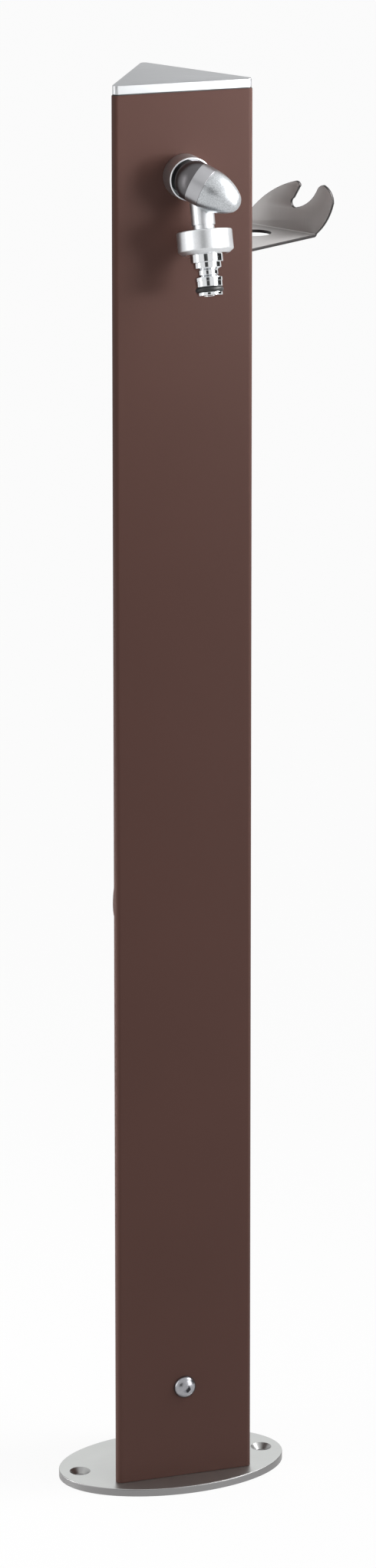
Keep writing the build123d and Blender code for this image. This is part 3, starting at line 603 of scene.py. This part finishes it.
# The thread: radius = crest - depth * wave, where the wave is a ramp up and down in distance
# / pitch - turn / (2 pi), clipped flat at crest and root, that fades out at both ends.
thread_start, thread_end = plug_rows[-1, 1], plug_rows[0, 1]
thread_run = np.linspace(thread_start, thread_end, thread_rows)[1:-1, None]
turn = np.linspace(0, 1, round_steps, endpoint=False)
wave = np.abs(2 * ((thread_run / thread_pitch - turn) % 1) - 1)
wave = np.clip(1.5 * wave - 0.25, 0, 1)
fade = np.minimum(thread_run - thread_start, thread_end - thread_run) / thread_fade
thread_radius = plug_thread - thread_depth * wave * np.clip(fade, 0, 1)
radius = np.concatenate((plug_rows[:, :1] * all_round, thread_radius))
distance = np.concatenate((plug_rows[:, 1:] * all_round, thread_run * all_round))
points = round_axis(radius, distance, outlet_root, outlet_out)
plug_faces = grid_faces(len(radius), round_steps)
plug_body = skin("click_plug", points, plug_faces, chrome, sharp=40.0)
fit_piece(plug_body, "tap_chrome", "plug", "hose_plug")

ring_section = 1.7 * mm
ring_centre = (7.3 * mm, 71.15 * mm)
ring_steps = 24
ring_turn = np.linspace(0, 2 * pi, ring_steps, endpoint=False)
ring_circle = np.stack((np.cos(ring_turn), np.sin(ring_turn)), axis=-1) * ring_section
ring_circle += ring_centre
o_ring = turned("plug_ring", ring_circle, outlet_root, outlet_out, rubber)
fit_piece(o_ring, "black_rubber", "plug", "plug_o_ring")

# Hose bracket: one sheet of 2 mm stainless steel, laser cut and bent twice. Its flange is
# screwed to the rear face of the post; the shelf has a round hole, the upright two ears.
sheet = 2.0 * mm
bracket_width = 72.8 * mm
bracket_reach = 76.0 * mm
bracket_flange = 28.0 * mm
bracket_level = 835.5 * mm
ear_height = 33.4 * mm
bend_inside = 0.6 * mm
bend_middle = bend_inside + sheet / 2
bend_steps = 9
cut_ease = 0.25 * mm
hose_hole_radius = 11.0 * mm
hose_hole_reach = 52.0 * mm
hose_hole_side = -2.8 * mm
screw_hole_radius = 2.7 * mm
screw_hole_side = 20.0 * mm
screw_hole_rise = 11.0 * mm
bracket_brush = 0.6 * mm
bracket_run = (1.0, 1.0, 0.04)
bracket_cloud = 20 * mm
right_out = np.array((cos(radians(30)), sin(radians(30)), 0.0))
right_along = np.array((-sin(radians(30)), cos(radians(30)), 0.0))
up = np.array((0.0, 0.0, 1.0))
right_root = right_out * -front_y

# The flat blank, before bending, measured along the sheet's middle: the flange ends where
# the first bend starts, and so on up to the root of the upright.
bend_run = bend_middle * pi / 2
flange_end = bracket_flange - sheet / 2 - bend_middle
shelf_start = flange_end + bend_run
shelf_end = shelf_start + bracket_reach - sheet - 2 * bend_middle
upright_start = shelf_end + bend_run


def arc_through(a, b, c, steps=14):
    """The arc from a through b to c. Taken as complex numbers, with w = (c - a) / (b - a),
    its centre is a - (a - b) (w - |w|^2) / (2 i Im w)."""
    a, b, c = (complex(*place) for place in (a, b, c))
    w = (c - a) / (b - a)
    centre = a - (a - b) * (w - abs(w) ** 2) / (2j * w.imag)
    turn = np.unwrap(np.angle([a - centre, b - centre, c - centre]))
    turn = np.linspace(turn[0], turn[2], steps)
    places = centre + abs(a - centre) * np.exp(1j * turn)
    return np.stack((places.real, places.imag), axis=-1)


def circle(across, along, radius, rounds=96):
    """A round hole in the blank, run the other way round than the blank's outline."""
    turn = np.linspace(0, 2 * pi, rounds, endpoint=False)
    return np.stack((across + radius * np.cos(turn), along + radius * np.sin(turn)), axis=-1)


# The ears' edge, as arcs through three places in shares of the width and of the ears' height:
# up the far side, over its tip, down into the slot and out again, and over the second ear.
ear_shares = [
    [(-0.5, 0.0), (-0.618, 0.28), (-0.697, 0.66)],
    [(-0.697, 0.66), (-0.663, 0.886), (-0.588, 1.0)],
    [(-0.588, 1.0), (-0.546, 0.964), (-0.521, 0.904)],
    [(-0.521, 0.904), (-0.427, 0.641), (-0.277, 0.479)],
    [(-0.277, 0.479), (-0.212, 0.548), (-0.239, 0.65)],
    [(-0.316, 0.922), (-0.295, 0.988), (-0.254, 0.997)],
    [(-0.254, 0.997), (0.007, 0.749), (0.243, 0.344)],
]
ear_base = upright_start - bend_inside
ears = np.array(ear_shares) * (bracket_width, ear_height) + (0.0, ear_base)
half = bracket_width / 2
outline = [
    (-half, 0.0),
    *np.concatenate([arc_through(*arc) for arc in ears]),
    (half, ear_base),
    (half, 0.0),
]
hose_hole_along = shelf_start + hose_hole_reach - sheet / 2 - bend_middle
hose_hole = circle(hose_hole_side, hose_hole_along, hose_hole_radius)
screw_holes = [
    circle(side, screw_hole_rise, screw_hole_radius, 40)
    for side in (-screw_hole_side, screw_hole_side)
]
blank = bpy.data.curves.new("bracket_blank", "CURVE")
blank.dimensions = "2D"
blank.fill_mode = "BOTH"
blank.extrude = sheet / 2 - cut_ease
blank.bevel_depth = cut_ease
blank.bevel_resolution = 1
blank.offset = -cut_ease
for loop in (outline, hose_hole, *screw_holes):
    line = blank.splines.new("POLY")
    line.points.add(len(loop) - 1)
    line.use_cyclic_u = True
    line.points.foreach_set("co", (np.pad(loop, ((0, 0), (0, 2))) + (0, 0, 0, 1)).ravel())
blank_object = bpy.data.objects.new("bracket_blank", blank)
bracket = bpy.data.meshes.new_from_object(blank_object)
bpy.data.objects.remove(blank_object)

# The blank is cut across where it bends, so that each bend turns in small steps.
flat = bmesh.new()
flat.from_mesh(bracket)
bmesh.ops.remove_doubles(flat, verts=flat.verts, dist=cut_ease / 50)
lower_bend = np.linspace(flange_end, shelf_start, bend_steps)
upper_bend = np.linspace(shelf_end, upright_start, bend_steps)
for cut in (*lower_bend, *upper_bend):
    geometry = [*flat.verts, *flat.edges, *flat.faces]
    bmesh.ops.bisect_plane(flat, geom=geometry, plane_co=(0, cut, 0), plane_no=(0, 1, 0))
bmesh.ops.recalc_face_normals(flat, faces=flat.faces)
flat.to_mesh(bracket)
flat.free()

# Brushed stainless sheet: grey, dull along the brush lines. The laser-cut edges are darker.
bracket_metal, tree, shader = new_material("brushed_stainless_sheet", Metallic=1.0)
cloud = clouds(tree, bracket_cloud)
lines = clouds(tree, bracket_brush, bracket_run)
finish(tree, shader, cloud, ("B8B6B5", "C2C0BF"), lines, (0.55, 0.65))
bracket_edge, tree, shader = new_material("laser_cut_stainless_edge", Metallic=1.0)
grain = clouds(tree, bracket_brush)
finish(tree, shader, grain, ("363434", "444242"), grain, (0.4, 0.5))
bracket.materials.append(bracket_metal)
bracket.materials.append(bracket_edge)

# A face whose normal stands off the sheet is brushed, and one that turns away from that is a
# cut edge. The sheet's flat faces are shaded flat, its edges and bends smooth.
brushed_share = 0.97
flat_share = 0.99
normal = np.empty(3 * len(bracket.polygons))
middle = np.empty(3 * len(bracket.polygons))
bracket.polygons.foreach_get("normal", normal)
bracket.polygons.foreach_get("center", middle)
off = np.abs(normal.reshape(-1, 3)[:, 2])
along = middle.reshape(-1, 3)[:, 1]
in_bend = (along > flange_end) & (along < shelf_start)
in_bend |= (along > shelf_end) & (along < upright_start)
bracket.polygons.foreach_set("material_index", (off < brushed_share).astype(np.int32))
bracket.polygons.foreach_set("use_smooth", (off < flat_share) | in_bend)


def folded(blank):
    """The bent sheet's places from the blank's (across, along, off its middle). With the two
    bends' angles a and b, the middle lies at (half sheet + r (1 - cos a) + shelf run + r sin
    b) out from the post and at (flange run + r sin a + r (1 - cos b) + upright run) up, and
    off goes along (cos(a - b), -sin(a - b))."""
    across, along, off = blank.T
    a = np.clip((along - flange_end) / bend_middle, 0, pi / 2)
    b = np.clip((along - shelf_end) / bend_middle, 0, pi / 2)
    shelf_run = np.clip(along, shelf_start, shelf_end) - shelf_start
    height = np.minimum(along, flange_end) + np.clip(along - upright_start, 0, None)
    height += bend_middle * (np.sin(a) + 1 - np.cos(b)) - off * np.sin(a - b)
    reach = sheet / 2 + bend_middle * (1 - np.cos(a) + np.sin(b)) + shelf_run
    reach += off * np.cos(a - b)
    height += bracket_level - bracket_flange
    places = right_root + np.outer(across, right_along) + np.outer(reach, right_out)
    return places + np.outer(height, up)


places = np.empty(3 * len(bracket.vertices))
bracket.vertices.foreach_get("co", places)
bracket.vertices.foreach_set("co", folded(places.reshape(-1, 3)).ravel())
bracket.set_sharp_from_angle(angle=radians(40))
bracket.update()

bracket.name = "bent_bracket"
fit_piece(bracket, "bracket_steel", "standpipe", "hose_bracket")
dress(screw_metal, "bracket_screws", "bracket_nuts")

# Side plug: a thick round button of turned steel, powder coated with the post. It closes a
# spare hole in the post's left face, and a nut inside the post holds its shank.
plug_face = Vector((-cos(radians(30)), sin(radians(30)), 0.0))
button_root = plug_face * -front_y + Vector((0.0, 0.0, 398.2 * mm))
button_radius = 17.0 * mm
button_head = 6.8 * mm
button_edge = 2.0 * mm
button_shank = 9.8 * mm
button_depth = 12.0 * mm
edge_turn = np.linspace(0, pi / 2, 10)
edge_in = button_edge * (1 - np.cos(edge_turn))
edge_down = button_edge * (1 - np.sin(edge_turn))
radius = [button_shank, button_shank, button_radius, *(button_radius - edge_in)]
distance = [-button_depth, 0.0, 0.0, *(button_head - edge_down)]
points = round_axis(radius, distance, button_root, plug_face)
button = skin("plug_button", points, grid_faces(len(radius), round_steps, ring=False), coat)
fit_piece(button, "post_coat", "standpipe", "side_plug")
dress(screw_metal, "side_plug_nut")

# Lid: a plate of satin stainless steel with nearly the post's outline and a softly broken top
# edge. A rim under it drops inside the post, on a thin black gasket that seals the joint.
lid_inset = 0.5 * mm
lid_edge = 0.5 * mm
lid_base = 944.4 * mm
lid_top = 950.0 * mm
lid_rim_depth = 10.0 * mm
lid_rim_outer = 2.1 * mm
lid_rim_inner = 4.1 * mm
lid_rim_corner = 1.4 * mm
lid_scratch = 0.7 * mm
lid_brush = (0.04, 1.0, 1.0)
lid_cloud = 40 * mm

# Stainless steel, brushed on its top: an even grey with fine brush lines that only soften what
# it mirrors. The level top is painted a darker grey than the steel's own, as painted shade, so
# the rim, in the steel's colour, is paler.
lid_metal, tree, shader = new_material("satin_stainless_lid", Metallic=1.0)
cloud = clouds(tree, lid_cloud, detail=2.0)
lines = clouds(tree, lid_scratch, lid_brush)
relief = (0.1, lid_scratch / 30)
finish(tree, shader, cloud, ("929497", "9C9EA1"), lines, (0.26, 0.38), relief, rim="C0C2C4")

edge_turn = np.linspace(0, pi / 2, 6)
ease = lid_edge * (1 - np.cos(edge_turn))
rise = lid_edge * (1 - np.sin(edge_turn))
lid_corner = post_corner - lid_inset
lid_rings = [
    (lid_rim_inner, lid_rim_corner, lid_base),
    (lid_rim_inner, lid_rim_corner, lid_base - lid_rim_depth),
    (lid_rim_outer, lid_rim_corner, lid_base - lid_rim_depth),
    (lid_rim_outer, lid_rim_corner, lid_base),
    (lid_inset, lid_corner, lid_base),
    *np.stack((lid_inset + ease, lid_corner - ease, lid_top - rise), axis=-1),
]
lid_faces = grid_faces(len(lid_rings), 3 * corner_steps, ring=False)
lid = skin("lid_plate", stacked(lid_rings), lid_faces, lid_metal, flat_columns=corner_steps)
fit_piece(lid, "lid_steel", "standpipe", "cap")
dress(rubber, "cap_gasket")

# Studio: a pale floor without an end and a pale room. Two dark gaps in the room are mirrored
# by the metal alone, as dark bands; the eye sees plain white behind the object.
floor_reach = 30.0
paper_glow = 0.92
paper_grey = (0.9, 0.9, 0.9, 1.0)
bright = (1.0, 1.0, 1.0, 1.0)
floor_mesh = bpy.data.meshes.new("studio_floor")
floor_mesh.from_pydata(
    [
        (-floor_reach, -floor_reach, 0.0),
        (floor_reach, -floor_reach, 0.0),
        (floor_reach, floor_reach, 0.0),
        (-floor_reach, floor_reach, 0.0),
    ],
    [],
    [(0, 1, 2, 3)],
)
floor = bpy.data.objects.new("studio_floor", floor_mesh)
bpy.context.scene.collection.objects.link(floor)

# White paper: matt, and mostly as bright as itself to the eye and in a mirror, so that it
# meets the white behind it, while a part of what the lamps give still shows the shadow.
paper = bpy.data.materials.new("white_paper")
paper.use_nodes = True
tree = paper.node_tree
tree.nodes.clear()
path = add(tree, "ShaderNodeLightPath")
seen = add(
    tree,
    "ShaderNodeMath",
    {0: path.outputs["Is Camera Ray"], 1: path.outputs["Is Glossy Ray"]},
    operation="MAXIMUM",
)
seen = add(
    tree,
    "ShaderNodeMath",
    {0: seen.outputs[0], 1: path.outputs["Is Transmission Ray"]},
    operation="MAXIMUM",
)
share = add(tree, "ShaderNodeMath", {0: seen.outputs[0], 1: paper_glow}, operation="MULTIPLY")
matt = add(tree, "ShaderNodeBsdfDiffuse", {"Color": paper_grey})
glow = add(tree, "ShaderNodeEmission", {"Color": bright, "Strength": 1.0})
blend = add(
    tree,
    "ShaderNodeMixShader",
    {0: share.outputs[0], 1: matt.outputs[0], 2: glow.outputs[0]},
)
add(tree, "ShaderNodeOutputMaterial", {"Surface": blend.outputs[0]})
floor_mesh.materials.append(paper)

# The room: each gap is a band of directions, in degrees round the height from the front to
# the right, with soft edges. Above gap_top degrees the room is white all round.
room_level = 0.6
gap_level = 0.03
gap_edge = 4
gap_top = 27
gap_top_edge = 8
gaps = [(-39, -11), (66, 122)]
world = bpy.data.worlds.new("studio_room")
bpy.context.scene.world = world
world.use_nodes = True
tree = world.node_tree
tree.nodes.clear()
look = add(tree, "ShaderNodeTexCoord")
parts = add(tree, "ShaderNodeSeparateXYZ", {0: look.outputs["Generated"]})
ahead = add(tree, "ShaderNodeMath", {0: parts.outputs["Y"], 1: -1.0}, operation="MULTIPLY")
angle = add(
    tree, "ShaderNodeMath", {0: parts.outputs["X"], 1: ahead.outputs[0]}, operation="ARCTAN2"
)
turn = add(
    tree, "ShaderNodeMapRange", {"Value": angle.outputs[0], "From Min": -pi, "From Max": pi}
)
bands = add(tree, "ShaderNodeValToRGB", {0: turn.outputs["Result"]})
above = add(
    tree,
    "ShaderNodeMapRange",
    {
        "Value": parts.outputs["Z"],
        "From Min": sin(radians(gap_top - gap_top_edge)),
        "From Max": sin(radians(gap_top + gap_top_edge)),
    },
)
wall = add(
    tree,
    "ShaderNodeMix",
    {0: above.outputs["Result"], 6: bands.outputs[0], 7: bright},
    data_type="RGBA",
)
ramp = bands.color_ramp
ramp.interpolation = "EASE"
dark = (gap_level, gap_level, gap_level, 1.0)
stops = [(-180, bright)]
for first, last in gaps:
    stops += [(first - gap_edge, bright), (first + gap_edge, dark)]
    stops += [(last - gap_edge, dark), (last + gap_edge, bright)]
while len(ramp.elements) < len(stops):
    ramp.elements.new(0.5)
for element, (degrees, value) in zip(ramp.elements, stops):
    element.position = (degrees + 180) / 360
    element.color = value
path = add(tree, "ShaderNodeLightPath")
mirrored = add(
    tree,
    "ShaderNodeMath",
    {0: path.outputs["Is Glossy Ray"], 1: path.outputs["Is Transmission Ray"]},
    operation="MAXIMUM",
)
fill = add(tree, "ShaderNodeBackground", {"Color": bright, "Strength": room_level})
mirror = add(tree, "ShaderNodeBackground", {"Color": wall.outputs[2], "Strength": 1.0})
white = add(tree, "ShaderNodeBackground", {"Color": bright, "Strength": 1.0})
lit = add(
    tree,
    "ShaderNodeMixShader",
    {0: mirrored.outputs[0], 1: fill.outputs[0], 2: mirror.outputs[0]},
)
pick = add(
    tree,
    "ShaderNodeMixShader",
    {0: path.outputs["Is Camera Ray"], 1: lit.outputs[0], 2: white.outputs[0]},
)
add(tree, "ShaderNodeOutputWorld", {"Surface": pick.outputs[0]})


def soft_lamp(name, place, aim, size, level, beam=180):
    """A soft light of a width and height in metres, whose face has the given level, where 1
    is white; its power is level * pi * area. It shines within the beam's angle, in degrees."""
    width, height = size
    lamp = bpy.data.lights.new(name, "AREA")
    lamp.shape = "RECTANGLE"
    lamp.size = width
    lamp.size_y = height
    lamp.energy = level * pi * width * height
    lamp.spread = radians(beam)
    box = bpy.data.objects.new(name, lamp)
    box.location = place
    box.rotation_euler = (Vector(aim) - Vector(place)).to_track_quat("-Z", "Y").to_euler()
    box.visible_camera = False
    bpy.context.scene.collection.objects.link(box)


# A tall main light stands at the right front, a small one picks out the tap, one hangs at the
# right, a slim one stands at the left, and a low one at the left rear lights the rounded corner.
soft_lamp("front_box", (1.35, -1.45, 0.4), (0.0, -0.03, 0.42), (1.0, 2.2), level=3.0)
soft_lamp("tap_box", (0.67, -0.78, 1.0), (0.02, -0.04, 0.98), (0.4, 0.4), level=0.85, beam=27)
soft_lamp("side_box", (1.25, -0.35, 1.6), (0.0, -0.05, 0.9), (1.0, 0.9), level=2.2, beam=60)
soft_lamp("rim_box", (-1.6, -0.1, 0.9), (0.0, 0.0, 0.6), (0.4, 1.8), level=0.8, beam=90)
soft_lamp("edge_box", (-1.5, 0.5, 0.25), (-0.05, 0.0, 0.25), (1.0, 0.5), level=1.2, beam=20)

# Camera: 3.4 m from the post, a little to its left, looking slightly down through a long lens
# that is shifted down to set where the picture's centre falls.
picture_height = 2046
picture_width = 490
focal_pixels = 7636.8
centre_x = 261.35
centre_y = 400.0
camera_place = (-1.1872, -3.5085, 1.5721)
camera_yaw = radians(19.003)
camera_dip = radians(11.798)
film = 36.0
eye = bpy.data.cameras.new("photo_camera")
eye.sensor_width = film
eye.lens = focal_pixels * film / picture_height
eye.shift_x = (picture_width / 2 - centre_x) / picture_height
eye.shift_y = (centre_y - picture_height / 2) / picture_height
eye.clip_end = 200.0
camera = bpy.data.objects.new("photo_camera", eye)
camera.location = camera_place
camera.rotation_euler = (pi / 2 - camera_dip, 0.0, -camera_yaw)
bpy.context.scene.collection.objects.link(camera)
bpy.context.scene.camera = camera
bpy.context.scene.view_settings.view_transform = "Standard"
